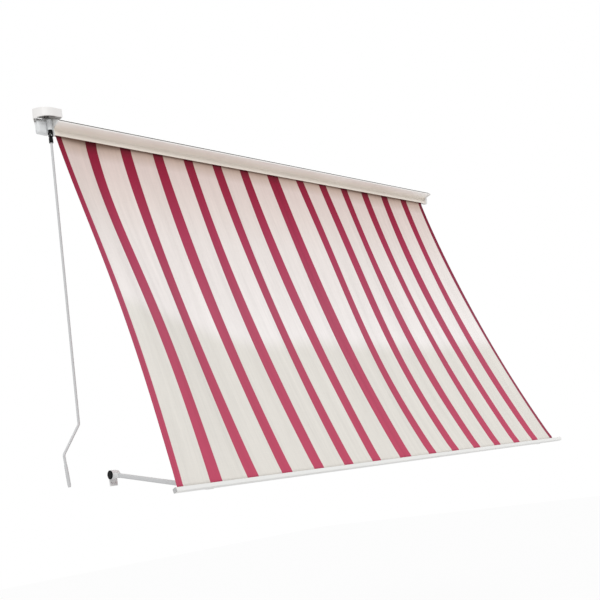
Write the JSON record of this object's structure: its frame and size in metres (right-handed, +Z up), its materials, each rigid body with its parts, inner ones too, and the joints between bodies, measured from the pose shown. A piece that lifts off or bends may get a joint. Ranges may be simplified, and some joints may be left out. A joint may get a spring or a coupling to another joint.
{
  "type": "drop-arm awning",
  "caption": "Wall-hung window awning: striped cloth on a hooded roller, held out by a front bar on short drop arms and wound by a hanging crank.",
  "frame": {"origin": "on the wall plane, at the middle of the wall rail's flat back face", "axes": "+X along the awning, away from the crank; +Y into the wall; +Z up"},
  "size_m": [2.5454, 0.6341, 1.6002],
  "materials": {
    "cream_metal": "satin powder coat",
    "white_metal": "satin powder coat",
    "white_plastic": "moulded, semi-gloss",
    "cream_plastic": "moulded, satin",
    "grey_plastic": "moulded, satin",
    "grey_paint": "satin paint",
    "grey_metal": "cast, satin",
    "dark_plastic": "moulded, matte",
    "black_plastic": "moulded, satin",
    "steel": "zinc plated",
    "brass": "machined",
    "cloth": "woven, matte"
  },
  "bodies": {
    "frame": {"wall_rail": "cream_metal", "hood": "cream_metal", "left_bracket": "white_metal", "right_bracket": "white_metal", "left_cap": "white_plastic", "right_cap": "white_plastic", "gear_casing": "grey_plastic", "left_bush": "black_plastic", "right_bush": "black_plastic", "rail_screw_1": "steel", "rail_screw_2": "steel", "rail_screw_3": "steel", "left_bracket_screw_1": "steel", "left_bracket_screw_2": "steel", "right_bracket_screw_1": "steel", "right_bracket_screw_2": "steel", "left_arm_bracket": "grey_metal", "right_arm_bracket": "grey_metal", "left_pivot_pin": "steel", "right_pivot_pin": "steel", "left_pivot_cap": "black_plastic", "right_pivot_cap": "black_plastic", "left_arm_screw_1": "steel", "left_arm_screw_2": "steel", "right_arm_screw_1": "steel", "right_arm_screw_2": "steel", "fabric_sheet": "cloth"},
    "drop_arms": {"left_arm_tube": "grey_paint", "right_arm_tube": "grey_paint", "left_arm_knuckle": "grey_metal", "right_arm_knuckle": "grey_metal", "left_arm_tip": "cream_plastic", "right_arm_tip": "cream_plastic"},
    "bar": {"front_bar": "white_metal", "bar_cap_left": "dark_plastic", "bar_cap_right": "white_plastic", "hem_rod": "dark_plastic", "left_bar_clamp": "white_metal", "right_bar_clamp": "white_metal", "left_tip_pin": "steel", "right_tip_pin": "steel"},
    "roller": {"roller_tube": "steel", "roller_plug_left": "dark_plastic", "roller_plug_right": "dark_plastic", "fabric_roll": "cloth", "worm_wheel": "brass"},
    "crank": {"worm": "steel", "drive_fork": "black_plastic", "joint_cross": "steel", "crank_fork": "black_plastic", "crank_rod": "grey_paint", "grip_pin": "steel"},
    "grip": {"crank_grip": "grey_plastic"}
  },
  "joints": [
    {"name": "arm_swing", "type": "hinge", "parent": "frame", "child": "drop_arms", "pos_m": [0, -0.028, -1.443], "axis": [-1, 0, 0], "range_deg": [0, 96], "deforming": ["fabric_sheet"]},
    {"name": "bar_tilt", "type": "hinge", "parent": "drop_arms", "child": "bar", "pos_m": [0, -0.59871, -1.55187], "axis": [1, 0, 0], "range_deg": [0, 113.5]},
    {"name": "roller_turn", "type": "hinge", "parent": "frame", "child": "roller", "pos_m": [0, -0.0337, -0.0239], "axis": [-1, 0, 0], "range_deg": [0, 1543]},
    {"name": "crank_turn", "type": "hinge", "parent": "frame", "child": "crank", "pos_m": [-1.2097, -0.0731, -0.0239], "axis": [0, 0, -1], "range_deg": [0, 10800]},
    {"name": "grip_spin", "type": "hinge", "parent": "crank", "child": "grip", "pos_m": [-1.28065, -0.0731, -1.38706], "axis": [-0.0924, 0, 0.9957], "continuous": true}
  ],
  "couplings": [
    {"joint": "bar_tilt", "follows": "arm_swing", "ratio": 1.1814},
    {"joint": "roller_turn", "follows": "arm_swing", "ratio": 16.071},
    {"joint": "crank_turn", "follows": "arm_swing", "ratio": 112.5}
  ]
}
